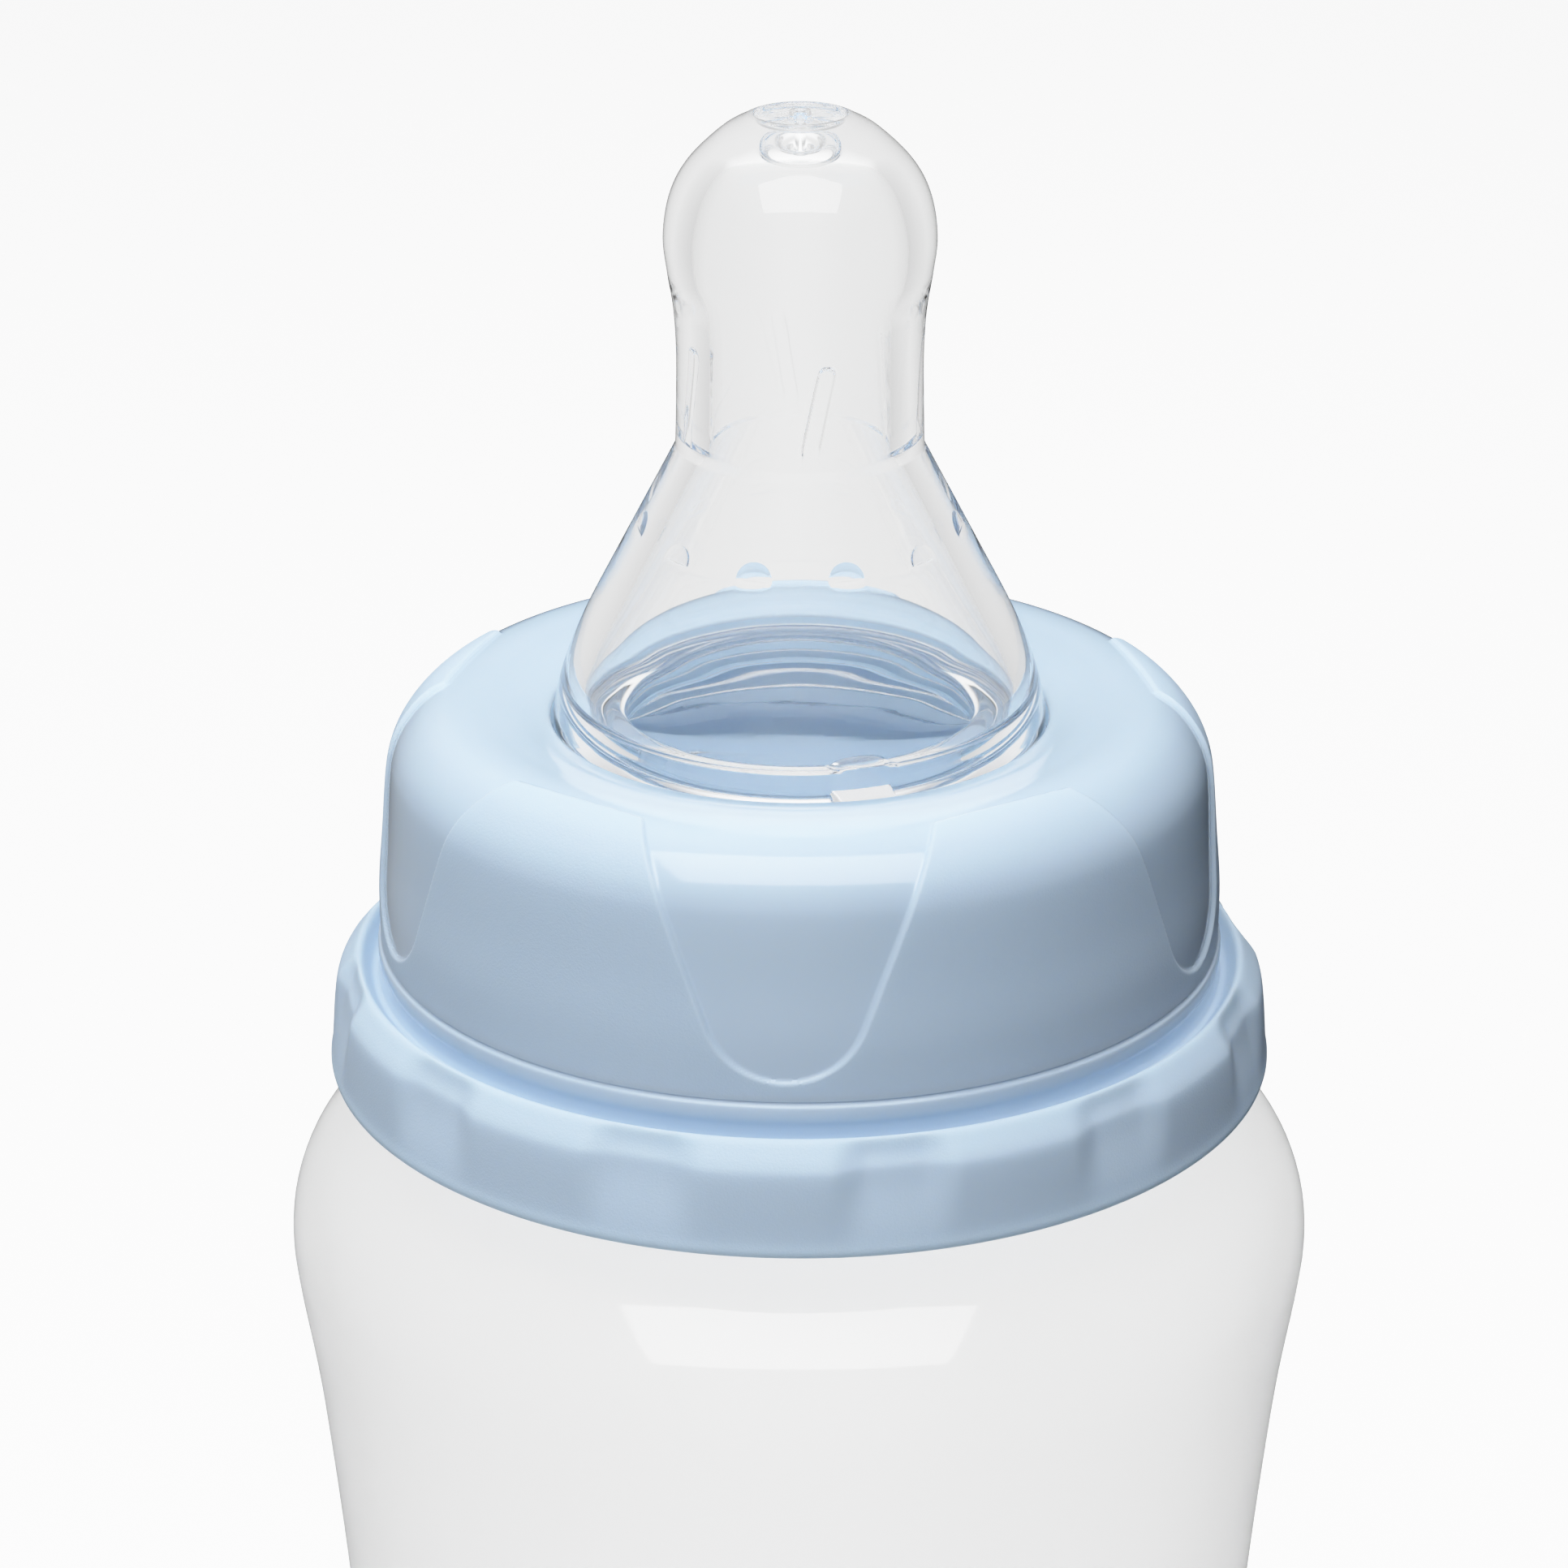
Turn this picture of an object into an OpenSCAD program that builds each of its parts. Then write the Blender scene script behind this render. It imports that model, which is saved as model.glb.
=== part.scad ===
// Baby bottle: a wide-neck feeding bottle, its screw ring and its silicone teat.
// The bottle stands on the XY plane with its axis on Z. Millimetres.

/* [Bottle] */
// Height of the screw ring's lower edge above the table
ring_z = 110; // [108:0.5:116]
// Largest radius of the shoulder
shoulder_r = 31.8; // [31:0.1:33]
// Radius of the waist that a hand holds
waist_r = 28.4; // [26.5:0.1:30]
// Radius of the bottle near its foot
foot_r = 31; // [29:0.1:33]
// Thickness of the moulded bottle wall
wall = 1.5; // [1.2:0.1:2]
// Height of the dished bottom above the table
dish_h = 3; // [1.5:0.5:5]

/* [Screw ring] */
// Radius of the ring's lower edge
ring_r = 29; // [29:0.1:30]
// Number of glossy tongues around the dome
tongues = 5; // [3:2:5]
// Angle from one tongue to the next; the panel at the back takes up the rest
tongue_step = 70; // [68:1:72]
// Depth of each tongue below the matt panels
tongue_depth = 0.25; // [0.2:0.05:0.5]
// Number of finger scallops around the skirt
scallops = 12; // [8:1:16]
// Depth of each scallop at the top of the skirt
scallop_depth = 0.6; // [0.3:0.05:0.8]

/* [Thread] */
// Rise of the thread in one turn
pitch = 5; // [4.8:0.1:5.4]
// Turns of thread on the bottle's neck
neck_turns = 1.5; // [1:0.25:1.75]
// Turns of thread inside the ring
ring_turns = 1.25; // [1:0.25:1.25]
// Clearance between the two threads' crests and roots
play = 0.3; // [0.2:0.05:0.4]

/* [Teat] */
// Thickness of the silicone wall
teat_wall = 1.9; // [1.5:0.1:2.1]
// Number of half-moon bumps inside the cone
bumps = 10; // [6:1:12]
// Number of slanted ribs inside the neck of the teat
ribs = 4; // [2:1:6]
// Width of the air vent under the teat's base
vent_w = 3.4; // [2:0.1:4]

/* [Hidden] */

$fn = 96;

// Heights are measured from the ring's lower edge unless they start at the table
neck_bore_r = 19.9;
neck_r = 21.9;
neck_top = 18.9;
thread_h = 1.4;
thread_crest_r = neck_r + thread_h;
thread_root_w = 2.2;
thread_crest_w = 0.9;
neck_thread_z = 12.2;
thread_offset = 1.7;
steps_per_turn = 36;

marks = 8;
marks_z = 8;
mark_step = 8;
mark_h = 0.7;
mark_relief = 0.25;
marks_left = 9;
long_mark_w = 15;
short_mark_w = 6;

ring_bore_r = thread_crest_r + play;
ring_hole_r = 15.05;
plate_z = 20.6;
panel_edge_r = 21.3;
panel_edge_z = 23.35;
tongue_turn = -2;
scallop_turn = 11;
pad_r = 25.7;
bead_z = 7.5;
bead_r = 25.88;
groove_z = 5.7;
skirt_top_z = 6.7;
tongue_tip_z = 9.5;
tongue_round = 4.7;
tongue_flare = 20;

flange_r = 22;
flange_gap = 0.05;
base_r = 14.87;
under_lip_r = 12.4;
lip_r = 10.4;
lip_top = 22.7;
lip_bottom = 20.9;
crease_z = 39.1;
cone_slope = 0.52;
rib_z = 42.35;
rib_length = 5.2;
rib_tilt = 11;
rib_turn = 10;
bump_z = 33.1;
bump_depth = 0.5;
bump_half_w = 1.1;
vent_turn = 18;
vent_outer_r = 17.5;
vent_inner_r = 9.3;
vent_top = 21.3;
valve_r = 1.5;
tip_z = 59.4;
tip_well_r = 2.6;
tip_well_h = 1.6;
nub_base_r = 1.2;
nub_r = 0.65;
nub_top_z = 59.1;
feed_hole_r = 0.3;

// A point on the smooth curve from b to c, with neighbours a and d
function blend(a, b, c, d, t) =
    0.5 * (2 * b + (c - a) * t + (2 * a - 5 * b + 4 * c - d) * t * t
        + (3 * b - a - 3 * c + d) * t * t * t);

// A smooth curve through the points p, with n steps in each span
function smooth(p, n) =
    let (last = len(p) - 1)
    concat(
        [for (i = [0:last - 1], k = [0:n - 1])
            blend(p[max(i - 1, 0)], p[i], p[i + 1], p[min(i + 2, last)], k / n)],
        [p[last]]
    );

function reversed(p) = [for (i = [len(p) - 1:-1:0]) p[i]];

// The same outline moved sideways by t, to the left of its direction of travel
function shifted(p, t) =
    let (last = len(p) - 1)
    [for (i = [0:last])
        let (d = p[min(i + 1, last)] - p[max(i - 1, 0)])
        p[i] + t * [-d[1], d[0]] / norm(d)];

// ---- outlines, from the bottom up, as [radius, height] ----

function body_outline() = smooth([
    [foot_r - 3.4, 0],
    [foot_r - 1, 0.9],
    [foot_r, 3.6],
    [foot_r - 0.15, 10],
    [foot_r - 1.2, 26],
    [waist_r + 0.25, 43],
    [waist_r, 56],
    [waist_r + 0.55, 71],
    [waist_r + 1.95, ring_z - 23],
    [shoulder_r - 0.25, ring_z - 14.4],
    [shoulder_r, ring_z - 11.4],
    [shoulder_r - 0.4, ring_z - 8.9],
    [shoulder_r - 1.5, ring_z - 6.6],
    [shoulder_r - 3.6, ring_z - 4.3],
    [shoulder_r - 6.4, ring_z - 2.4],
    [neck_r + 1, ring_z - 1.2],
    [neck_r, ring_z]
], 5);

function dome_outline() = smooth([
    [pad_r, bead_z + 0.65],
    [pad_r, 11.6],
    [25.4, 15],
    [25.1, 18.5],
    [24.78, 20.1],
    [24.1, 21.4],
    [23.16, 22.5],
    [22.2, 23.1],
    [panel_edge_r, panel_edge_z]
], 4);

function top_outline() = smooth([
    [panel_edge_r - 0.15, panel_edge_z - tongue_depth],
    [19.5, 23.1],
    [17.4, 22.85],
    [ring_hole_r + 0.4, 22.35],
    [ring_hole_r, 22]
], 3);

function skirt_outline() = smooth([
    [ring_r - 0.35, 0],
    [ring_r, 0.45],
    [ring_r - 0.12, 1.2],
    [ring_r - 0.3, 3.5],
    [ring_r - 0.48, 4.9],
    [ring_r - 0.75, 5.5],
    [ring_r - 1.25, 6.15],
    [ring_r - 1.8, skirt_top_z]
], 4);

function teat_outline() = concat(
    [[base_r, plate_z]],
    smooth([
        [base_r, 22.2],
        [14.7, 23.2],
        [14.3, 24.8],
        [13.65, 26.6],
        [12.8, 28.5],
        [12.1, 29.9]
    ], 4),
    [[12.1 - cone_slope * (crease_z - 0.2 - 29.9), crease_z - 0.2]],
    smooth([
        [7.34, crease_z],
        [7.3, 41.5],
        [7.27, 44.8],
        [7.42, 47.4],
        [7.75, 49.5],
        [7.98, 51.7],
        [7.58, 54.1],
        [6.56, 56],
        [4.67, 57.85],
        [2.9, 58.9],
        [0, tip_z]
    ], 5)
);

function teat_cavity_outline() = concat(
    [[under_lip_r, neck_top - 1], [under_lip_r, lip_bottom], [lip_r + 0.3, lip_bottom],
        [lip_r, lip_bottom + 0.3], [lip_r, lip_top - 0.4], [lip_r + 0.4, lip_top],
        [12, lip_top + 0.1]],
    smooth([[12.75, 23.5], [12.5, 24.6], [11.7, 26.5], [10.75, 28.4]], 3),
    [[12.1 - cone_slope * (crease_z - 30) - teat_wall - 0.1, crease_z]],
    smooth([
        [7.3 - teat_wall, crease_z + 0.5],
        [7.26 - teat_wall, 44.2],
        [7.5 - teat_wall, 47],
        [8.02 - teat_wall, 49.4],
        [8.1 - teat_wall, 51.6],
        [7.45 - teat_wall, 53.9],
        [6.1 - teat_wall, 55.6],
        [4.2 - teat_wall, 56.5],
        [0, 56.8]
    ], 4)
);

// ---- shared shapes ----

// One trapezoid of a thread at angle a and height z, on a round surface of radius
// root_r. side is 1 when the thread stands outwards and -1 when it stands inwards.
function thread_section(a, z, root_r, side, grow) =
    let (
        embed_r = root_r - side * 0.4,
        crest_r = embed_r + side * (0.4 + thread_h) * grow,
        half_root = thread_root_w / 2,
        half_crest = half_root - (half_root - thread_crest_w / 2) * grow
    )
    [for (q = [[embed_r, -half_root], [crest_r, -half_crest], [crest_r, half_crest], [embed_r, half_root]])
        [q[0] * cos(a), q[0] * sin(a), z + q[1]]];

// A right-hand thread of the given turns, centred on height mid_z, tapering out at its ends
module thread(root_r, side, turns, mid_z, start) {
    n = ceil(turns * steps_per_turn);
    ramp = 4;
    points = [for (i = [0:n])
        let (
            a = start + 360 * turns * (i / n - 0.5),
            grow = max(0.1, min(1, i / ramp, (n - i) / ramp))
        )
        each thread_section(a, mid_z + pitch * a / 360 - pitch * start / 360, root_r, side, grow)];
    sides = [for (i = [0:n - 1], k = [0:3])
        let (
            a = 4 * i + k,
            b = 4 * i + (k + 1) % 4
        )
        each (side > 0
            ? [[a, b, b + 4], [a, b + 4, a + 4]]
            : [[a, b + 4, b], [a, a + 4, b + 4]])];
    ends = side > 0
        ? [[3, 2, 1, 0], [4 * n, 4 * n + 1, 4 * n + 2, 4 * n + 3]]
        : [[0, 1, 2, 3], [4 * n + 3, 4 * n + 2, 4 * n + 1, 4 * n]];
    polyhedron(points, concat(sides, ends), convexity = 6);
}

// Copies turned evenly about the axis, the first one facing the front
module around(count, first = 0) {
    for (i = [0:count - 1])
        rotate([0, 0, first + 360 * i / count])
            children();
}

// ---- bottle ----

module neck_outline_2d() {
    lip = 0.5;
    polygon([
        [neck_bore_r, ring_z - 3],
        [neck_r, ring_z - 3],
        [neck_r, ring_z + neck_top - lip],
        [neck_r - lip, ring_z + neck_top],
        [neck_bore_r + lip, ring_z + neck_top],
        [neck_bore_r, ring_z + neck_top - lip]
    ]);
}

module body_2d() {
    outer = body_outline();
    above_foot = 12;
    below_neck = len(outer) - 8;
    inner = [for (i = [above_foot:below_neck]) shifted(outer, wall)[i]];
    polygon(concat(
        [[0, dish_h], [foot_r - 12, dish_h - 0.4], [foot_r - 7, 0.5], [foot_r - 5, 0]],
        outer,
        [[neck_bore_r, ring_z], [neck_bore_r, ring_z - 2.6], [neck_bore_r + 1, ring_z - 3.4]],
        reversed(inner),
        [[foot_r - wall - 0.6, 4.4], [foot_r - 4.5, 2.2], [foot_r - 7, 2.4],
            [foot_r - 12, dish_h + wall - 0.6], [0, dish_h + wall]]
    ));
}

// Upright slices of the raised filling marks on the lower half of the front
module filling_marks() {
    for (i = [1:marks])
        let (w = i % 2 == 0 ? long_mark_w : short_mark_w)
        translate([-marks_left, -waist_r - 2.4, marks_z + mark_step * i])
            cube([w, 4, mark_h]);
}

// A skin round the body from its foot to its waist, which gives the marks their relief
module marks_skin() {
    low = 8;
    high = 38;
    rotate_extrude()
        let (outer = body_outline(), skin = [for (i = [low:high]) outer[i]])
        polygon(concat(shifted(skin, 0.4), reversed(shifted(skin, -mark_relief))));
}

module bottle() {
    color([0.93, 0.94, 0.94, 0.6]) {
        rotate_extrude() {
            body_2d();
            neck_outline_2d();
        }
        thread(neck_r, 1, neck_turns, ring_z + neck_thread_z, 0);
        intersection() {
            filling_marks();
            marks_skin();
        }
    }
}

// ---- screw ring ----

module ring_2d() {
    polygon(concat(
        skirt_outline(),
        [[ring_r - 2.1, skirt_top_z - 0.08], [bead_r + 0.55, groove_z], [bead_r + 0.15, groove_z],
            [bead_r - 0.14, bead_z - 0.75], [bead_r - 0.02, bead_z - 0.35], [bead_r, bead_z + 0.1],
            [bead_r - 0.04, bead_z + 0.45]],
        dome_outline(),
        top_outline(),
        [
            [ring_hole_r, plate_z],
            [flange_r + 0.2, plate_z],
            [ring_bore_r, plate_z - 1.8],
            [ring_bore_r, 2.4],
            [ring_bore_r + 1.6, 1.2],
            [ring_bore_r + 2, 0]
        ]
    ));
}

// The space outside the tongue surface of the dome
module above_tongues_2d() {
    level = shifted(dome_outline(), tongue_depth);
    low = [level[0][0], tongue_tip_z - 0.4];
    edge = [panel_edge_r - 0.1, panel_edge_z - tongue_depth - 0.06];
    top_z = panel_edge_z + 2;
    polygon(concat(
        [[bead_r + 2, tongue_tip_z - 0.4], low],
        [for (i = [0:len(level) - 4]) level[i]],
        [edge, edge + [-0.6, 0.4], [edge[0] - 0.6, top_z], [bead_r + 2, top_z]]
    ));
}

// Front outline of a tongue: a round tip that opens out upwards
module tongue_2d() {
    steps = 12;
    mid_z = tongue_tip_z + tongue_round;
    top_z = panel_edge_z + 3;
    side = tongue_round * [cos(tongue_flare), sin(tongue_flare)];
    top_x = side[0] + (top_z - mid_z + side[1]) * tan(tongue_flare);
    tip = [for (i = [0:steps])
        let (a = -180 + tongue_flare + (180 - 2 * tongue_flare) * i / steps)
        [0, mid_z] + tongue_round * [cos(a), sin(a)]];
    polygon(concat(tip, [[top_x, top_z], [-top_x, top_z]]));
}

module tongue_cut() {
    intersection() {
        rotate([90, 0, 0])
            linear_extrude(height = bead_r + 4)
                tongue_2d();
        rotate_extrude()
            above_tongues_2d();
    }
}

// A wide, shallow cutter that leans inwards, so that the scallop runs out at the lower edge
module scallop_cut() {
    cut_r = 22;
    low_z = 0.6;
    lean = atan((scallop_depth + 0.4) / 5);
    translate([0, -(ring_r - 0.05), low_z])
        rotate([-lean, 0, 0])
            translate([0, -cut_r, -3])
                cylinder(r = cut_r, h = 12);
}

module ring() {
    color([0.67, 0.79, 0.92])
        translate([0, 0, ring_z]) {
            difference() {
                rotate_extrude()
                    ring_2d();
                for (i = [0:tongues - 1])
                    rotate([0, 0, tongue_turn + tongue_step * (i - (tongues - 1) / 2)])
                        tongue_cut();
                around(scallops, scallop_turn)
                    scallop_cut();
            }
            thread(ring_bore_r, -1, ring_turns, neck_thread_z - thread_offset, 0);
        }
}

// ---- teat ----

module teat_shell_2d() {
    polygon(concat(
        [[0, neck_top + flange_gap], [flange_r - 0.4, neck_top + flange_gap],
            [flange_r, neck_top + flange_gap + 0.4], [flange_r, plate_z - flange_gap - 0.4],
            [flange_r - 0.4, plate_z - flange_gap], [base_r, plate_z - flange_gap]],
        teat_outline()
    ));
}

// A rib with round ends that stands out of the neck's inner wall
module rib() {
    rib_r = 0.5;
    translate([0, -(7.3 - teat_wall + 0.15), rib_z])
        rotate([0, rib_tilt, 0]) {
            cylinder(r = rib_r, h = rib_length, center = true);
            for (end = [-1, 1])
                translate([0, 0, end * rib_length / 2])
                    sphere(r = rib_r);
        }
}

// A half-moon bump: an upright round bar that comes out of the sloping inner wall
module bump() {
    inner_r = 12.1 + cone_slope * (29.9 - bump_z) - teat_wall - 0.1;
    bar_r = (bump_half_w * bump_half_w + bump_depth * bump_depth) / (2 * bump_depth);
    translate([0, -(inner_r - bump_depth + bar_r), bump_z])
        cylinder(r = bar_r, h = 3);
}

module teat_cavity() {
    difference() {
        rotate_extrude()
            polygon(concat([[0, neck_top - 1]], teat_cavity_outline()));
        around(ribs, rib_turn)
            rib();
        around(bumps, 180 / bumps)
            bump();
        valve();
    }
}

// Round well in the tip, with a small nub that carries the feeding hole
module tip_well() {
    floor_z = tip_z - tip_well_h;
    difference() {
        translate([0, 0, floor_z])
            cylinder(r = tip_well_r, h = 3);
        translate([0, 0, floor_z - 1]) {
            cylinder(r = nub_base_r, h = 1.6);
            cylinder(r = nub_r, h = nub_top_z - floor_z + 1);
        }
    }
    translate([0, 0, 50])
        cylinder(r = feed_hole_r, h = 12);
}

// Channel that lets air pass under the base of the teat
module vent() {
    rotate([0, 0, vent_turn])
        translate([-vent_w / 2, -vent_outer_r, neck_top - 1])
            cube([vent_w, vent_outer_r - vent_inner_r, vent_top - neck_top + 1]);
}

// Small arch that stands on the lip over the inner end of the vent
module valve() {
    rotate([0, 0, vent_turn])
        translate([0, -lip_r - 0.5, lip_top])
            rotate([90, 0, 0])
                cylinder(r = valve_r, h = 3);
}

module teat() {
    color([0.93, 0.93, 0.93, 0.5])
        translate([0, 0, ring_z])
            difference() {
                rotate_extrude()
                    teat_shell_2d();
                teat_cavity();
                tip_well();
                vent();
            }
}

bottle();
ring();
teat();
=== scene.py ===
import math

import bpy
import numpy as np
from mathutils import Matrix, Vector

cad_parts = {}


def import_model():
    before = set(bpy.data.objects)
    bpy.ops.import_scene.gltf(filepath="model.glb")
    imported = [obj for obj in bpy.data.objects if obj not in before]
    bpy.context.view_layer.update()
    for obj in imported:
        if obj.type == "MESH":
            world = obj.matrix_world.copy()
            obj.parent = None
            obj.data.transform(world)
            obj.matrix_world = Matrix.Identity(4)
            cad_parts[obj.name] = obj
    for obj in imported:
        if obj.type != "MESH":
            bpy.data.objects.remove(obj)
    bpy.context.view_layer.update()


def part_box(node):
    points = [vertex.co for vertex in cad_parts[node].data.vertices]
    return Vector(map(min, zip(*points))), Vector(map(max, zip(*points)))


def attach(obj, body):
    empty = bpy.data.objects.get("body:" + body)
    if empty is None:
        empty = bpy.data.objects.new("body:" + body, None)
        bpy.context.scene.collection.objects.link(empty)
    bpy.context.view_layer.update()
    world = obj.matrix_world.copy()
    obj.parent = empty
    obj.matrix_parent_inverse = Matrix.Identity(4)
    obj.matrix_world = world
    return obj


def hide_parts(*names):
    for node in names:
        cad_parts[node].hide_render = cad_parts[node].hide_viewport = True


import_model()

# Lengths in this script are millimetres and angles are degrees until a mesh is made.
# An azimuth of 0 faces the front (-Y), and 90 faces +X.
MM = 0.001
RING_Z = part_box("ring")[0].z / MM
SHOULDER_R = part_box("bottle")[1].x / MM
RING_R = 29.0
NECK_R = 21.9
NECK_BORE_R = 19.9
NECK_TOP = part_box("bottle")[1].z / MM - RING_Z
PITCH, THREAD_H = 5.0, 1.4


# ---- curves and grids ----

def smooth(points, n=12):
    """A smooth curve through the points, as in the CAD outlines."""
    p = np.array(points, float)
    last = len(p) - 1
    out = []
    for i in range(last):
        a, b, c, d = p[max(i - 1, 0)], p[i], p[i + 1], p[min(i + 2, last)]
        for k in range(n):
            t = k / n
            out.append(0.5 * (2 * b + (c - a) * t + (2 * a - 5 * b + 4 * c - d) * t * t
                              + (3 * b - a - 3 * c + d) * t ** 3))
    out.append(p[last])
    return np.array(out)


def spaced(path, step):
    """The same path with points about step apart, its two ends kept."""
    path = np.array(path, float)
    gap = np.linalg.norm(np.diff(path, axis=0), axis=1)
    along = np.concatenate([[0], np.cumsum(gap)])
    count = max(2, int(round(along[-1] / step)) + 1)
    s = np.linspace(0, along[-1], count)
    return np.stack([np.interp(s, along, path[:, k]) for k in (0, 1)], 1)


def chain(*parts):
    """Paths end to end, without the points that repeat where they meet."""
    out = [np.array(parts[0], float)]
    for part in parts[1:]:
        part = np.array(part, float)
        if np.linalg.norm(part[0] - out[-1][-1]) < 1e-6:
            part = part[1:]
        out.append(part)
    return np.concatenate(out)


def fillet(a, corner, b, radius, n=5):
    """A rounded corner between the directions to a and b."""
    a, corner, b = (np.array(v, float) for v in (a, corner, b))
    u, v = (a - corner) / np.linalg.norm(a - corner), (b - corner) / np.linalg.norm(b - corner)
    half = math.acos(max(-1, min(1, float(u @ v)))) / 2
    cut = radius / math.tan(half)
    p, q = corner + u * cut, corner + v * cut
    t = np.linspace(0, 1, n + 1)[:, None]
    return (1 - t) ** 2 * p + 2 * t * (1 - t) * corner + t ** 2 * q


def right_normals(path, closed=False):
    d = np.roll(path, -1, 0) - np.roll(path, 1, 0)
    if not closed:
        d[0], d[-1] = path[1] - path[0], path[-1] - path[-2]
    d /= np.maximum(np.linalg.norm(d, axis=1), 1e-9)[:, None]
    return np.stack([d[:, 1], -d[:, 0]], 1)


def step(low, high, x):
    t = np.clip((x - low) / (high - low), 0, 1)
    return t * t * (3 - 2 * t)


def turned(r, z, azimuth):
    a = np.radians(azimuth)
    return np.stack([r * np.sin(a), -r * np.cos(a), z + 0 * r], -1)


def nearest(azimuth, centre):
    """The signed angle from centre to azimuth, from -180 to 180."""
    return (azimuth - centre + 180) % 360 - 180


def lathe(name, points, closed=False, facts=None):
    """A mesh from a rows x columns grid of points that closes round the axis.

    An open grid starts and ends on the axis. facts holds a value for each point, by attribute name.
    """
    rows, columns = points.shape[:2]
    index = np.arange(rows * columns).reshape(rows, columns)
    verts = points.reshape(-1, 3) * MM
    faces = []
    if closed:
        index = np.vstack([index, index[:1]])
        low, high = index[:-1], index[1:]
    else:
        low, high = index[1:-2], index[2:-1]
        for pole, ring, up in ((0, index[1], True), (rows - 1, index[-2], False)):
            fan = np.stack([np.full(columns, index[pole, 0]), np.roll(ring, -1), ring], 1)
            faces += (fan if up else fan[:, [0, 2, 1]]).tolist()
    quads = np.stack([low, np.roll(low, -1, 1), np.roll(high, -1, 1), high], -1).reshape(-1, 4)
    faces += quads.tolist()
    poles = [] if closed else [index[0, :1], index[-1, :1]]
    used = np.unique(np.concatenate([quads.ravel(), *poles]))
    place = np.full(rows * columns, -1)
    place[used] = np.arange(len(used))
    mesh = bpy.data.meshes.new(name)
    mesh.from_pydata(verts[used].tolist(), [], [place[f].tolist() for f in faces])
    for key, values in (facts or {}).items():
        layer = mesh.attributes.new(key, "FLOAT", "POINT")
        flat = np.broadcast_to(values, (rows, columns)).reshape(-1)
        layer.data.foreach_set("value", flat[used].astype(np.float32))
    mesh.shade_smooth()
    mesh.set_sharp_from_angle(angle=math.radians(50))
    mesh.update()
    ob = bpy.data.objects.new(name, mesh)
    bpy.context.scene.collection.objects.link(ob)
    return ob


def thread_height(azimuth, z, turns, mid_z):
    """Height of a right-hand thread above its root at each azimuth and height."""
    half_crest, half_root, run_out = 0.45, 1.1, 40
    angle = (azimuth - 90) % 360
    best = np.zeros(np.broadcast(azimuth, z).shape)
    for k in range(-3, 3):
        a = angle + 360 * k
        half = 180 * turns
        grow = np.clip(np.minimum(a + half, half - a) / run_out, 0, 1)
        off = np.abs(z - mid_z - PITCH * a / 360)
        best = np.maximum(best, THREAD_H * grow * (1 - step(half_crest, half_root, off)))
    return best


# ---- materials ----

def material(name):
    m = bpy.data.materials.new(name)
    m.use_nodes = True
    tree = m.node_tree
    bsdf = next(n for n in tree.nodes if n.type == "BSDF_PRINCIPLED")
    return m, tree, bsdf


def node(tree, kind, **values):
    n = tree.nodes.new(kind)
    for key, value in values.items():
        setattr(n, key, value)
    return n


def noise(tree, size, detail=2.0, roughness=0.5):
    """Noise whose grains are about size millimetres."""
    where = node(tree, "ShaderNodeTexCoord")
    n = node(tree, "ShaderNodeTexNoise")
    n.inputs["Scale"].default_value = 1 / (size * MM)
    n.inputs["Detail"].default_value = detail
    n.inputs["Roughness"].default_value = roughness
    tree.links.new(where.outputs["Object"], n.inputs["Vector"])
    return n.outputs["Fac"]


def mapped(tree, value, low, high, source=(0, 1)):
    n = node(tree, "ShaderNodeMapRange")
    n.inputs["From Min"].default_value, n.inputs["From Max"].default_value = source
    n.inputs["To Min"].default_value, n.inputs["To Max"].default_value = low, high
    tree.links.new(value, n.inputs["Value"])
    return n.outputs["Result"]


def mixed(tree, factor, a, b):
    n = node(tree, "ShaderNodeMix", data_type="RGBA")
    n.inputs["A"].default_value, n.inputs["B"].default_value = (*a, 1), (*b, 1)
    tree.links.new(factor, n.inputs["Factor"])
    return n.outputs["Result"]


def maths(tree, operation, a, b):
    n = node(tree, "ShaderNodeMath", operation=operation)
    for socket, value in zip(n.inputs, (a, b)):
        if isinstance(value, (int, float)):
            socket.default_value = value
        else:
            tree.links.new(value, socket)
    return n.outputs["Value"]


def bumped(tree, height, distance, strength=1.0, before=None):
    n = node(tree, "ShaderNodeBump")
    n.inputs["Strength"].default_value = strength
    n.inputs["Distance"].default_value = distance * MM
    tree.links.new(height, n.inputs["Height"])
    if before is not None:
        tree.links.new(before, n.inputs["Normal"])
    return n.outputs["Normal"]


def blended(tree, factor, a, b):
    n = node(tree, "ShaderNodeMixShader")
    if isinstance(factor, float):
        n.inputs["Fac"].default_value = factor
    else:
        tree.links.new(factor, n.inputs["Fac"])
    tree.links.new(a, n.inputs[1])
    tree.links.new(b, n.inputs[2])
    return n.outputs["Shader"]


def attribute(tree, name):
    return node(tree, "ShaderNodeAttribute", attribute_name=name).outputs["Fac"]


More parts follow.
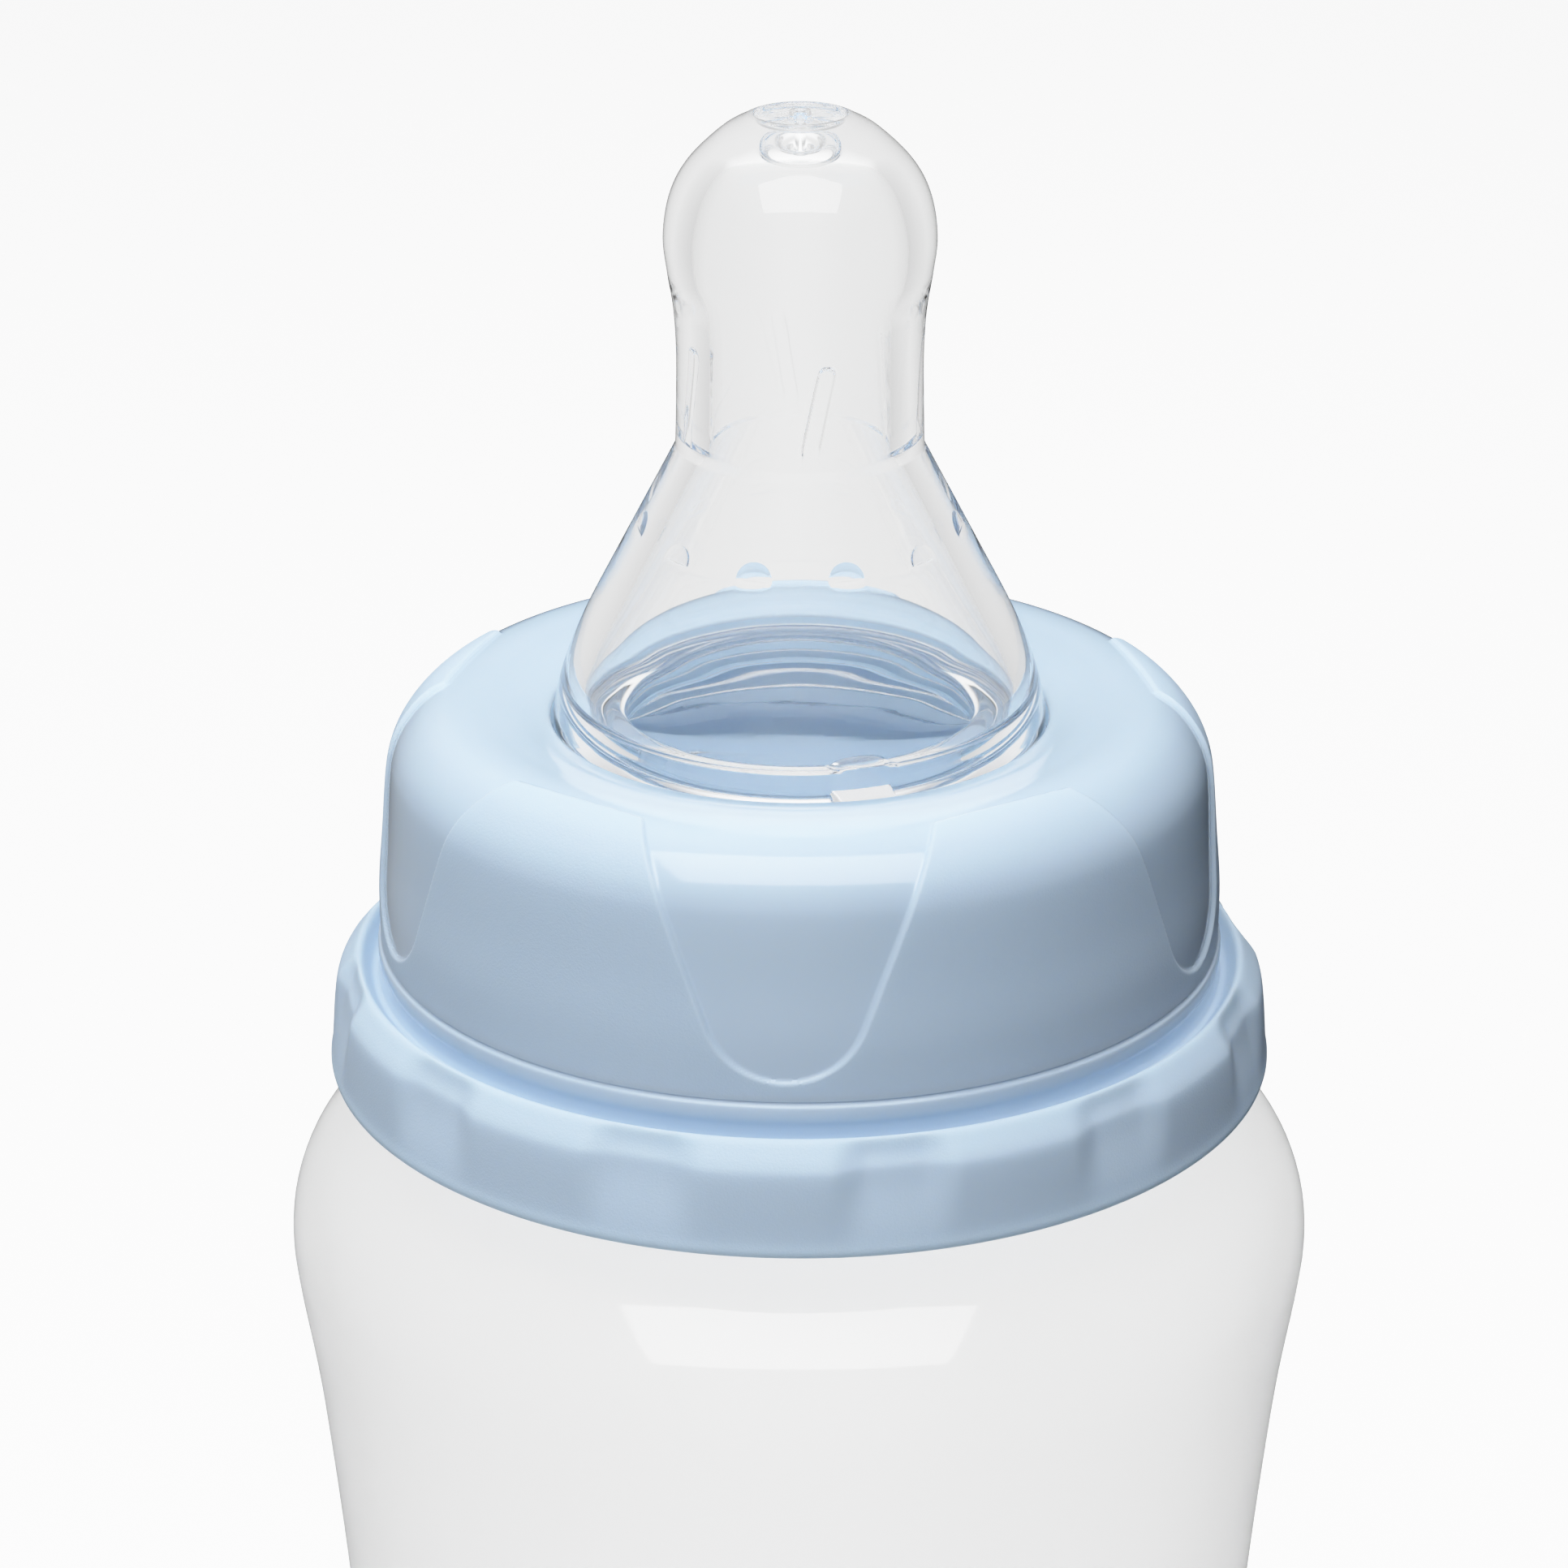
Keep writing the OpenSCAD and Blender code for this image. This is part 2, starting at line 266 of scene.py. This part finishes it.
def ring_material():
    """Pale blue polypropylene: polished on its tongues and top, and spark eroded where its mask says. Its
    hidden inner surfaces are painted a paler, bluer blue, a painted light in place of the light that reaches
    the inside of the neck.
    """
    m, tree, bsdf = material("ring_polypropylene")
    matt = attribute(tree, "matt")
    grain = noise(tree, 0.14, 3.0, 0.6)
    cloud = noise(tree, 9.0, 2.0)
    skin = mixed(tree, cloud, (0.45, 0.585, 0.745), (0.475, 0.61, 0.77))
    # painted light: where the bore mask is set, the colour becomes a paler, bluer blue that stands in for
    # light reaching the inside
    lit = node(tree, "ShaderNodeMix", data_type="RGBA")
    lit.inputs["B"].default_value = (0.52, 0.73, 1.0, 1)
    tree.links.new(attribute(tree, "bore"), lit.inputs["Factor"])
    tree.links.new(skin, lit.inputs["A"])
    tree.links.new(lit.outputs["Result"], bsdf.inputs["Base Color"])
    rough = maths(tree, "ADD", mapped(tree, matt, 0.16, 0.44), mapped(tree, grain, -0.04, 0.04))
    tree.links.new(rough, bsdf.inputs["Roughness"])
    fine = maths(tree, "MULTIPLY", grain, matt)
    ripple = bumped(tree, noise(tree, 2.5, 1.0), 0.004)
    tree.links.new(bumped(tree, fine, 0.018, 1.0, ripple), bsdf.inputs["Normal"])
    bsdf.inputs["IOR"].default_value = 1.49
    bsdf.inputs["Specular IOR Level"].default_value = 0.2
    tree.links.new(mapped(tree, matt, 0.65, 0.0), bsdf.inputs["Coat Weight"])
    bsdf.inputs["Coat Roughness"].default_value = 0.06
    bsdf.inputs["Subsurface Weight"].default_value = 0.25
    bsdf.inputs["Subsurface Radius"].default_value = (0.6, 0.8, 1.0)
    bsdf.inputs["Subsurface Scale"].default_value = 3.0 * MM
    return m


def silicone_material():
    """Clear liquid silicone rubber, a little hazy."""
    m, tree, bsdf = material("clear_silicone")
    haze = noise(tree, 3.0, 3.0)
    tree.links.new(mixed(tree, haze, (0.975, 0.978, 0.978), (0.99, 0.99, 0.99)), bsdf.inputs["Base Color"])
    tree.links.new(mapped(tree, haze, 0.015, 0.045), bsdf.inputs["Roughness"])
    tree.links.new(bumped(tree, noise(tree, 4.0, 1.0), 0.006), bsdf.inputs["Normal"])
    bsdf.inputs["IOR"].default_value = 1.41
    bsdf.inputs["Transmission Weight"].default_value = 1.0
    return m


def bottle_material():
    """Milky polypropylene: light comes through it softened, and its skin is glossy."""
    m, tree, bsdf = material("milky_polypropylene")
    cloud = noise(tree, 14.0, 2.0)
    tree.links.new(mixed(tree, cloud, (0.97, 0.971, 0.971), (0.982, 0.982, 0.982)), bsdf.inputs["Base Color"])
    frost = mapped(tree, attribute(tree, "polish"), -0.14, 0.0)
    tree.links.new(maths(tree, "ADD", mapped(tree, cloud, 0.26, 0.34), frost), bsdf.inputs["Roughness"])
    tree.links.new(bumped(tree, cloud, 0.015), bsdf.inputs["Normal"])
    bsdf.inputs["IOR"].default_value = 1.13
    bsdf.inputs["Transmission Weight"].default_value = 0.97
    facing = node(tree, "ShaderNodeLayerWeight").outputs["Facing"]
    polish = maths(tree, "MULTIPLY", attribute(tree, "polish"), mapped(tree, facing, 0.95, 0.03, (0.1, 0.75)))
    tree.links.new(polish, bsdf.inputs["Coat Weight"])
    bsdf.inputs["Coat IOR"].default_value = 1.45
    bsdf.inputs["Coat Roughness"].default_value = 0.06
    return m


# ---- screw ring ----

TONGUES = [-2 + 70 * i for i in (-2, -1, 0, 1, 2)]
PANEL_RISE, TONGUE_DEPTH = 0.4, 0.25
SCALLOPS, SCALLOP_TURN, SCALLOP_DEPTH = 12, 11, 0.6
RING_THREAD_TURNS, RING_THREAD_Z = 1.25, 10.5
PLATE_Z, BORE_R, HOLE_R = 20.6, 23.6, 15.05


def tongue_distance(azimuth, r, z):
    """Distance outside the nearest tongue's outline, negative on the tongue."""
    round_r, flare = 4.7, math.radians(20)
    mid = 9.5 + round_r
    best = np.full(np.broadcast(azimuth, r, z).shape, 1e3)
    for centre in TONGUES:
        off = nearest(azimuth, centre)
        x = np.abs(r * np.sin(np.radians(np.clip(off, -60, 60)))) + np.where(np.abs(off) > 60, 50, 0)
        dz = z - mid
        beside = x * math.cos(flare) - dz * math.sin(flare) - round_r
        round_end = np.hypot(x, dz) - round_r
        along = x * math.sin(flare) + dz * math.cos(flare)
        best = np.minimum(best, np.where(along > 0, beside, round_end))
    return best


def panel_edge(azimuth):
    """Radius of the panels' upper edge: it bows inwards between two tongues."""
    mids = [(a + b) / 2 for a, b in zip(TONGUES, TONGUES[1:])] + [(TONGUES[-1] + TONGUES[0] + 360) / 2]
    off = np.min([np.abs(nearest(azimuth, m)) for m in mids], 0)
    return 21.05 + 0.9 * np.clip(off / 19, 0, 1.3) ** 2


def ring():
    columns = 1200
    azimuth = np.arange(columns)[None, :] * 360 / columns
    R = RING_R
    skirt = smooth([(R - 0.3, 0.0), (R - 0.06, 0.15), (R, 0.45), (R - 0.12, 1.2), (R - 0.3, 3.5),
                    (R - 0.48, 4.9), (R - 0.75, 5.5), (R - 1.25, 6.15), (R - 1.6, 6.55), (R - 1.85, 6.7),
                    (R - 2.1, 6.62), (26.5, 6.1), (26.2, 5.8), (25.9, 5.85)])
    bead = smooth([(25.9, 5.85), (25.74, 6.2), (25.72, 6.75), (25.84, 7.15), (25.88, 7.5), (25.87, 7.85),
                   (25.82, 8.03), (25.72, 8.08), (25.69, 8.15)], 6)
    level = smooth([(25.29, 8.2), (25.29, 11.6), (25.0, 15), (24.7, 18.5), (24.4, 19.95), (23.8, 21.1),
                    (22.9, 22.1), (21.95, 22.7), (21.0, 22.97), (19.5, 23.08), (17.4, 22.85), (15.75, 22.45),
                    (15.2, 22.25), (HOLE_R, 21.95)])
    back = chain([(HOLE_R, 21.9)], fillet((HOLE_R, 21.9), (HOLE_R, PLATE_Z), (22.2, PLATE_Z), 0.15),
                 [(19, PLATE_Z)], fillet((HOLE_R, PLATE_Z), (22.2, PLATE_Z), (BORE_R, PLATE_Z - 1.8), 0.3),
                 spaced([(BORE_R, PLATE_Z - 2.0), (BORE_R, 2.4)], 0.28),
                 [(BORE_R + 1.6, 1.2), (BORE_R + 2, 0.35)],
                 fillet((BORE_R + 2, 1), (BORE_R + 2.1, 0), (R - 0.5, 0), 0.2))
    lower, dome, hidden = 0, 1, 2
    parts = [(spaced(skirt, 0.16), lower), (spaced(bead, 0.07), lower), (spaced(level, 0.13), dome),
             (back, hidden)]
    path = chain(*[p for p, _ in parts])
    kind, at = np.zeros(len(path), int), 0
    for i, (p, k) in enumerate(parts):
        length = len(p) - (1 if i and np.linalg.norm(p[0] - parts[i - 1][0][-1]) < 1e-6 else 0)
        kind[at:at + length] = k
        at += length
    normal = right_normals(path, True)
    r, z = path[:, :1] + 0 * azimuth, path[:, 1:] + 0 * azimuth
    n_r, n_z = normal[:, :1], normal[:, 1:]
    kind = kind[:, None]
    raised = np.where(kind == dome, 1.0, 0.0)
    outside = tongue_distance(azimuth, r, z)
    panel = raised * step(-0.09, 0.1, outside) * step(-0.14, 0.14, r - panel_edge(azimuth))
    skin = (PANEL_RISE - TONGUE_DEPTH) * raised * step(18.5, 21.5, r) + TONGUE_DEPTH * panel
    r, z = r + n_r * skin, z + n_z * skin
    # finger scallops
    off = np.min([np.abs(nearest(azimuth, SCALLOP_TURN + 360 / SCALLOPS * i)) for i in range(SCALLOPS)], 0)
    dip = SCALLOP_DEPTH * (1 - step(3.0, 8.0, off)) * step(0.5, 5.0, z) * step(26.9, 28.3, r)
    skirt_rows = (kind == lower) & (path[:, :1] > 26.0)
    r = r - np.where(skirt_rows, dip, 0)
    # thread in the bore
    bore = (kind == hidden) & (np.abs(path[:, :1] - BORE_R) < 0.01)
    r = r - np.where(bore, thread_height(azimuth, z, RING_THREAD_TURNS, RING_THREAD_Z), 0)
    plain = np.where(skirt_rows, 1.0, np.where(kind == hidden, 0.6, 0.25))
    matt = np.where(kind == dome, panel, plain)
    # mask of the hidden inner surfaces that get the painted light, a paler blue, in the ring's material
    inner = np.where((kind == hidden) & (path[:, :1] < R - 1) & (path[:, 1:] > 0.5), 1.0, 0.0)
    ob = lathe("ring", turned(r, z + RING_Z, azimuth), True, {"matt": matt, "bore": inner})
    ob.data.materials.append(ring_material())
    return ob


# ---- teat ----

BUMP_Z = 33.1
UNDERSIDE_ROWS = 38  # rows of the outline that lie on the flange's lower face


def teat():
    columns = 720
    azimuth = np.arange(columns)[None, :] * 360 / columns
    slope = 0.52
    under, top = 18.95, PLATE_Z - 0.05
    crease = 39.1
    outer_low = smooth([(14.87, 22.2), (14.7, 23.2), (14.3, 24.8), (13.65, 26.6), (12.8, 28.5), (12.1, 29.9)])
    crease_r = 12.1 - slope * (crease - 0.2 - 29.9)
    outer_high = smooth([(7.36, crease), (7.3, 41.5), (7.27, 44.8), (7.42, 47.4), (7.75, 49.5), (7.98, 51.7),
                         (7.58, 54.1), (6.56, 56.0), (4.67, 57.85), (3.3, 58.66), (2.85, 58.86)])
    well = [(2.72, 58.87), (2.63, 58.8), (2.6, 58.6), (2.56, 58.3), (2.5, 58.05), (2.35, 57.88), (2.1, 57.82),
            (1.5, 57.8), (1.32, 57.86), (1.24, 58.0), (1.2, 58.25), (1.1, 58.38), (0.9, 58.42), (0.74, 58.48),
            (0.68, 58.62), (0.65, 58.9), (0.6, 59.04), (0.48, 59.08), (0.36, 59.06), (0.3, 58.95)]
    cavity_top = (0.5, 56.78)
    inner_high = smooth([(5.4, crease + 0.5), (5.36, 44.2), (5.6, 47), (6.12, 49.4), (6.2, 51.6),
                         (5.55, 53.9), (4.2, 55.6), (2.3, 56.5), cavity_top])[::-1]
    inner_low = smooth([(12.75, 23.5), (12.5, 24.6), (11.7, 26.5), (10.75, 28.4)])[::-1]
    cone_top = (12.1 - slope * (crease - 30) - 2.0, crease)
    path = chain(
        spaced([(12.6, under), (21.5, under)], 0.4),
        fillet((12, under), (22, under), (22, top), 0.35),
        fillet((22, under), (22, top), (15, top), 0.35),
        spaced([(21.5, top), (15.2, top)], 0.8),
        fillet((21, top), (14.87, top), (14.87, 22), 0.15),
        spaced([(14.87, 20.9), (14.87, 22.2)], 0.3),
        spaced(outer_low, 0.25),
        spaced([(12.1, 29.9), (crease_r + 0.06, crease - 0.32)], 0.5),
        fillet((12.1, 29.9), (crease_r - 0.05, crease - 0.1), (7.3, 41.5), 0.35),
        spaced(outer_high[3:], 0.22),
        well,
        [(0.3, 57.2), (0.34, 56.85), cavity_top],
        spaced(inner_high[:-3], 0.16),
        fillet((5.37, 41), cone_top, (10.75, 28.4), 0.5),
        cone_rows(cone_top, (10.75, 28.4)),
        spaced(inner_low, 0.22),
        [(12.62, 23.2), (12.35, 22.95), (12.0, 22.82), (11.2, 22.74), (10.8, 22.7), (10.55, 22.6),
         (10.43, 22.42), (10.4, 22.2)],
        spaced([(10.4, 22.1), (10.4, 21.3)], 0.15),
        [(10.43, 21.08), (10.55, 20.95), (10.75, 20.9)],
        spaced([(11.0, 20.9), (12.2, 20.9)], 0.3),
        [(12.36, 20.85), (12.4, 20.7)],
        spaced([(12.4, 20.4), (12.4, under + 0.15)], 0.3),
        [(12.45, under + 0.03)],
    )
    r, z = path[:, :1] + 0 * azimuth, path[:, 1:] + 0 * azimuth
    inside = np.zeros(len(path), bool)
    inside[int(np.argmin(np.hypot(path[:, 0] - cavity_top[0], path[:, 1] - cavity_top[1]))):] = True
    wall = inside[:, None] & (z > 24)
    # slanted ribs in the neck
    push = np.zeros_like(r)
    lean, rib_z, rib_half_length, rib_height = math.radians(11), 42.35, 2.6, 0.26
    for centre in (10, 100, 190, 280):
        x = r * np.radians(nearest(azimuth, centre))
        dz = z - rib_z
        along = x * math.sin(lean) + dz * math.cos(lean)
        across = x * math.cos(lean) - dz * math.sin(lean)
        away = np.hypot(across, np.maximum(np.abs(along) - rib_half_length, 0))
        push = np.maximum(push, rib_height * (1 - step(0.34, 0.56, away)))
    # half-moon bumps in the cone
    bumps, bump_depth, half_w, height = 10, 0.13, 1.0, 0.95
    for i in range(bumps):
        x = r * np.radians(nearest(azimuth, 18 + 36 * i)) / half_w
        moon = np.clip(1 - x ** 2 - (np.maximum(z - BUMP_Z, 0) / height) ** 2, 0, 1)
        push = np.maximum(push, bump_depth * moon ** 0.7 * step(BUMP_Z - 0.12, BUMP_Z + 0.02, z))
    r = r - np.where(wall, push, 0)
    # air vent under the base, and the small arch over its inner end
    vent_turn, vent_outer_r, ceiling, film = 18, 17.3, 21.3, 0.15
    turn = nearest(azimuth, vent_turn)
    x = path[:, :1] * np.sin(np.radians(np.clip(turn, -60, 60))) + np.where(np.abs(turn) > 60, 50, 0)
    vent = (1 - step(1.6, 1.75, np.abs(x))) * (1 - step(vent_outer_r, 17.6, path[:, :1]))
    underside = np.arange(len(path))[:, None] < UNDERSIDE_ROWS
    low = (path[:, 1:] < ceiling) & (underside | inside[:, None])
    # past the teat's base, a film of the flange is left over the vent
    roof = ceiling - (ceiling - (top - film)) * step(14.3, 14.8, path[:, :1])
    z = np.where(low, z + (roof - z) * vent, z)
    lip = inside[:, None] & (path[:, 1:] > 22.0) & (path[:, 1:] < 23.6)
    arch = np.sqrt(np.maximum(1.6 ** 2 - x ** 2, 0))
    arch = arch * step(9.9, 10.6, path[:, :1]) * (1 - step(12.0, 12.8, path[:, :1]))
    z = z + np.where(lip, 0.3 * arch, 0)
    ob = lathe("teat", turned(r, z + RING_Z, azimuth), True)
    ob.data.materials.append(silicone_material())
    return ob


def cone_rows(top, bottom):
    """The inner cone's rows, closer together where the half-moon bumps are."""
    heights = np.concatenate([
        np.arange(top[1] - 0.5, 34.4, -0.45),
        np.arange(34.3, 33.2, -0.07),
        BUMP_Z + np.array([0.06, 0.03, 0.0, -0.03, -0.08]),
        np.arange(32.8, bottom[1], -0.45),
    ])
    share = (top[1] - heights) / (top[1] - bottom[1])
    return np.stack([top[0] + (bottom[0] - top[0]) * share, heights], 1)


# ---- bottle ----

NECK_THREAD_TURNS, NECK_THREAD_Z = 1.5, 12.2


def bottle():
    columns = 600
    azimuth = np.arange(columns)[None, :] * 360 / columns
    foot_r, waist_r, wall, top = 31.0, 28.4, 1.5, RING_Z
    S = SHOULDER_R
    outline = smooth([(foot_r - 3.4, 0), (foot_r - 1, 0.9), (foot_r, 3.6), (foot_r - 0.15, 10),
                      (foot_r - 1.2, 26), (waist_r + 0.25, 43), (waist_r, 56), (waist_r + 0.55, 71),
                      (waist_r + 1.95, top - 23),
                      (S - 0.25, top - 14.4), (S, top - 11.4), (S - 0.4, top - 8.9), (S - 1.5, top - 6.6),
                      (S - 3.6, top - 4.3), (S - 6.4, top - 2.4), (NECK_R + 1, top - 1.2), (NECK_R, top)])
    bottom = smooth([(0, 3.0), (8, 2.98), (15, 2.75), (19.5, 2.1), (23, 0.75), (25.4, 0.06), (27.6, 0)])
    lip = 0.5
    neck = chain([(NECK_R, top)], spaced([(NECK_R, top + 0.3), (NECK_R, top + NECK_TOP - 0.6)], 0.28),
                 fillet((NECK_R, top), (NECK_R, top + NECK_TOP), (20, top + NECK_TOP), lip),
                 fillet((NECK_R, top + NECK_TOP), (NECK_BORE_R, top + NECK_TOP), (NECK_BORE_R, top), lip),
                 spaced([(NECK_BORE_R, top + NECK_TOP - 1), (NECK_BORE_R, top - 1.6)], 1.2))
    inner = outline - right_normals(outline) * wall
    start = int(np.argmax(inner[:, 1] > 6))
    end = int(np.argmax((inner[:, 0] < NECK_BORE_R + 1.3) & (inner[:, 1] > top - 8)))
    inside = chain(smooth([(NECK_BORE_R, top - 1.7), (NECK_BORE_R + 0.25, top - 2.6), tuple(inner[end])]),
                   inner[start:end][::-1],
                   smooth([tuple(inner[start]), (foot_r - 2.1, 4.2), (foot_r - 4.2, 2.5), (foot_r - 8, 2.5),
                           (foot_r - 12, 3.7), (14, 4.3), (7, 4.5), (0, 4.5)]))
    low = outline[outline[:, 1] <= 14]
    marks = outline[(outline[:, 1] > 14) & (outline[:, 1] < 74)]
    high = outline[outline[:, 1] >= 74]
    skin = (spaced(bottom, 0.7), spaced(low, 0.6), spaced(marks, 0.3), spaced(high, 0.5))
    path = chain(*skin, neck, spaced(inside, 0.8))
    path = path[np.concatenate([[True], np.linalg.norm(np.diff(path, axis=0), axis=1) > 1e-4])]
    outside = np.arange(len(path))[:, None] < len(chain(*skin))
    r, z = path[:, :1] + 0 * azimuth, path[:, 1:] + 0 * azimuth
    # raised filling marks on the front
    marks_z, mark_step, mark_half_h, mark_relief = 8, 8, 0.35, 0.25
    long_mark, short_mark = (7.5, -1.5), (3, -6)
    relief = np.zeros_like(r)
    x = r * np.radians(nearest(azimuth, 0))
    for i in range(1, 9):
        half, middle = long_mark if i % 2 == 0 else short_mark
        dx = np.abs(x - middle) - half
        dz = np.abs(z - marks_z - mark_step * i - mark_half_h) - mark_half_h
        relief = np.maximum(relief, mark_relief * (1 - step(-0.12, 0.15, np.maximum(dx, dz))))
    r = r + np.where(outside, relief, 0)
    threaded = (np.abs(path[:, :1] - NECK_R) < 1e-3) & (path[:, 1:] > top + 0.2)
    r = r + np.where(threaded, thread_height(azimuth, z, NECK_THREAD_TURNS, top + NECK_THREAD_Z), 0)
    r, z = np.minimum(r, S), np.maximum(z, 0)
    neck_wall = (path[:, :1] > NECK_R - 0.3) & (path[:, 1:] > top - 1)
    ob = lathe("bottle", turned(r, z, azimuth), False, {"polish": (outside | neck_wall).astype(float)})
    ob.data.materials.append(bottle_material())
    return ob


for make, cad_node, body, slot in ((bottle, "bottle", "bottle_body", "bottle_plastic"),
                                   (ring, "ring", "ring_body", "ring_plastic"),
                                   (teat, "teat", "teat_body", "silicone")):
    piece = make()
    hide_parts(cad_node)
    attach(piece, body)
    piece.name = cad_node + "_piece"


# ---- studio ----

def floor():
    mesh = bpy.data.meshes.new("floor")
    n, size = 96, 6.0
    angle = np.arange(n) * 2 * math.pi / n
    rings = [0.1, 0.4, 1.2, 3.0, size]
    verts = [(0, 0, 0)] + [(s * math.cos(a), s * math.sin(a), 0) for s in rings for a in angle]
    faces = [(0, 1 + i, 1 + (i + 1) % n) for i in range(n)]
    for k in range(len(rings) - 1):
        a, b = 1 + k * n, 1 + (k + 1) * n
        faces += [(a + i, b + i, b + (i + 1) % n, a + (i + 1) % n) for i in range(n)]
    mesh.from_pydata(verts, [], faces)
    ob = bpy.data.objects.new("floor", mesh)
    bpy.context.scene.collection.objects.link(ob)
    ob.location.z = -0.0001
    m, tree, bsdf = material("floor_paper")
    bsdf.inputs["Base Color"].default_value = (0.35, 0.35, 0.35, 1)
    bsdf.inputs["Roughness"].default_value = 0.9
    bsdf.inputs["Specular IOR Level"].default_value = 0.0
    bsdf.inputs["Emission Color"].default_value = (1, 1, 1, 1)
    bsdf.inputs["Emission Strength"].default_value = 1.02
    mesh.materials.append(m)
    ob.visible_diffuse = ob.visible_glossy = ob.visible_transmission = False


def world():
    """The light around the object, which differs with the kind of ray.

    The camera sees a pale backdrop. Rays through the clear parts see a soft bright tent, brighter still when
    they bring light to a coloured surface. Diffuse rays see a room that is dark on the right and on the far
    left, and glossy rays see the same room a little dimmer, the sheen.
    """
    w = bpy.data.worlds.new("studio")
    bpy.context.scene.world = w
    w.use_nodes = True
    tree = w.node_tree
    tree.nodes.clear()
    out = node(tree, "ShaderNodeOutputWorld")
    where = node(tree, "ShaderNodeTexCoord")
    split = node(tree, "ShaderNodeSeparateXYZ")
    tree.links.new(where.outputs["Generated"], split.inputs["Vector"])
    toward = maths(tree, "ADD", maths(tree, "MULTIPLY", split.outputs["X"], -0.85),
                   maths(tree, "MULTIPLY", split.outputs["Y"], -0.4))
    key = mapped(tree, toward, 0.0, 1.05, (-0.25, 0.38))
    left = mapped(tree, split.outputs["X"], 0.1, 1.0, (-1.0, -0.2))
    rise = mapped(tree, split.outputs["Z"], 0.8, 1.0, (-0.5, 0.3))
    room = maths(tree, "MULTIPLY", maths(tree, "MULTIPLY", key, left), rise)
    sides = maths(tree, "MINIMUM", mapped(tree, split.outputs["X"], 0.99, 0.66, (0.3, 0.95)),
                  mapped(tree, split.outputs["X"], 0.66, 0.99, (-0.95, -0.3)))
    above = mapped(tree, split.outputs["Z"], 0.0, 0.6, (0.45, 0.85))
    tent = maths(tree, "ADD", sides, above)
    path = node(tree, "ShaderNodeLightPath")
    lit = maths(tree, "MINIMUM", path.outputs["Diffuse Depth"], 1.0)
    tent = maths(tree, "ADD", tent, maths(tree, "MULTIPLY", lit, 1.5))
    shader = None
    sheen = mapped(tree, room, 0.01, 0.9)
    backdrop = 1.24
    kinds = ((room, None), (sheen, "Is Glossy Ray"), (tent, "Is Transmission Ray"),
             (backdrop, "Is Camera Ray"))
    for value, test in kinds:
        light = node(tree, "ShaderNodeBackground")
        light.inputs["Color"].default_value = (1, 1, 1, 1)
        if isinstance(value, float):
            light.inputs["Strength"].default_value = value
        else:
            tree.links.new(value, light.inputs["Strength"])
        background = light.outputs["Background"]
        shader = background if test is None else blended(tree, path.outputs[test], shader, background)
    tree.links.new(shader, out.inputs["Surface"])


def softbox(name, at, aim, size, radiance, hidden_from=()):
    light = bpy.data.lights.new(name, "AREA")
    light.shape = "RECTANGLE"
    light.size, light.size_y = size
    light.energy = radiance * math.pi * size[0] * size[1]
    ob = bpy.data.objects.new(name, light)
    bpy.context.scene.collection.objects.link(ob)
    ob.location = Vector(at)
    ob.rotation_euler = (Vector(aim) - Vector(at)).to_track_quat("-Z", "Y").to_euler()
    for kind in hidden_from:
        setattr(ob, "visible_" + kind, False)


def camera():
    focal_px, image_px, axis_shift = 5667, 1932, -0.94 * MM
    distance, pitch, target = 0.28, math.radians(22.35), (RING_Z + 17.2) * MM
    data = bpy.data.cameras.new("camera")
    data.sensor_width = 36.0
    data.lens = data.sensor_width * focal_px / image_px
    data.clip_start, data.clip_end = 0.005, 50
    ob = bpy.data.objects.new("camera", data)
    bpy.context.scene.collection.objects.link(ob)
    ob.location = (axis_shift, -distance * math.cos(pitch), target + distance * math.sin(pitch))
    ob.rotation_euler = (math.pi / 2 - pitch, 0, 0)
    bpy.context.scene.camera = ob


def tone():
    """A soft shoulder, so that the lightest blues pale as they do in a photograph."""
    view = bpy.context.scene.view_settings
    view.view_transform = "Standard"
    view.use_curve_mapping = True
    curves = view.curve_mapping
    curves.white_level = (1.5, 1.5, 1.5)
    line = curves.curves[3]
    for at, value in ((0.433, 0.65), (0.593, 0.80), (0.733, 0.89), (0.867, 0.94)):
        line.points.new(at, value)
    line.points[-1].location = (1.0, 0.97)
    curves.update()
    bpy.context.scene.cycles.max_bounces = 32
    bpy.context.scene.cycles.glossy_bounces = 16
    bpy.context.scene.cycles.transmission_bounces = 24


floor()
world()
softbox("overhead", (-0.05, -0.1, 0.9), (-0.05, -0.1, 0), (0.8, 0.84), 5.2, ("glossy", "transmission"))
softbox("highlight", (0, -0.4245, 0.806), (0, 0, 0.14), (0.9, 0.5), 4.0, ("diffuse", "transmission"))
camera()
tone()
